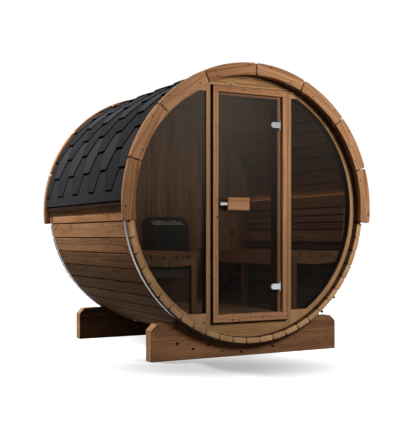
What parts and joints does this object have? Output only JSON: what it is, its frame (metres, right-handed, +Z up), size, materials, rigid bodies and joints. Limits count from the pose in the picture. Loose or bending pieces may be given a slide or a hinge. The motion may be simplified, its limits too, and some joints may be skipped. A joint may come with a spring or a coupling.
{
  "type": "barrel sauna",
  "caption": "Barrel sauna on two cradles, with a shingle roof, a glazed front with a hinged glass door, benches, backrests and a stone heater inside.",
  "frame": {"origin": "on the ground, under the middle of the barrel", "axes": "+X to the right when facing the glass front, +Y from the front to the back along the barrel, +Z up"},
  "size_m": [2.1398, 1.852, 2.195],
  "materials": {
    "cradle_wood": "oiled",
    "stave_wood": "planed",
    "fascia_wood": "planed",
    "wall_wood": "planed",
    "dark_wood": "stained",
    "handle_wood": "sanded",
    "bench_wood": "planed",
    "shingle_felt": "matte mineral surface",
    "hoop_steel": "brushed",
    "dark_steel": "satin",
    "satin_metal": "satin",
    "bronze_glass": "tinted",
    "warm_light": "glowing",
    "heater_black": "satin",
    "heater_grey": "satin",
    "heater_stone": "rough"
  },
  "bodies": {
    "shell": {"cradle_front": "cradle_wood", "cradle_back": "cradle_wood", "staves_bottom": "stave_wood", "staves_lower_left": "stave_wood", "staves_lower_right": "stave_wood", "staves_side_left": "stave_wood", "staves_side_right": "stave_wood", "staves_upper_left": "stave_wood", "staves_upper_right": "stave_wood", "staves_top": "stave_wood", "hoops": "hoop_steel", "hoop_tensioners": "dark_steel", "fascia_front": "fascia_wood", "fascia_back": "fascia_wood", "roof_shingles": "shingle_felt", "eave_battens": "dark_wood", "wall_post_left": "wall_wood", "wall_post_right": "wall_wood", "wall_head_panel": "wall_wood", "wall_sill_panel": "wall_wood", "window_frame_left": "wall_wood", "window_frame_right": "wall_wood", "window_glass_left": "bronze_glass", "window_glass_right": "bronze_glass", "back_wall": "wall_wood", "floor": "bench_wood", "door_frame_latch_stile": "wall_wood", "door_frame_hinge_stile": "wall_wood", "door_frame_head": "wall_wood", "door_threshold": "wall_wood", "hinge_plates": "satin_metal", "bench_left": "bench_wood", "bench_right": "bench_wood", "bench_frames_left": "bench_wood", "bench_frames_right": "bench_wood", "backrest_left": "bench_wood", "backrest_right": "bench_wood", "light_strips": "warm_light", "heater_body": "heater_black", "heater_base": "heater_grey", "heater_stones": "heater_stone"},
    "door": {"door_glass": "bronze_glass", "door_hinge_clamps": "satin_metal", "door_handles": "handle_wood", "door_latch": "satin_metal"}
  },
  "joints": [
    {"name": "door_hinge", "type": "hinge", "parent": "shell", "child": "door", "pos_m": [0.266, -0.833, 1.125], "axis": [0, 0, 1], "range_deg": [0, 95]}
  ]
}
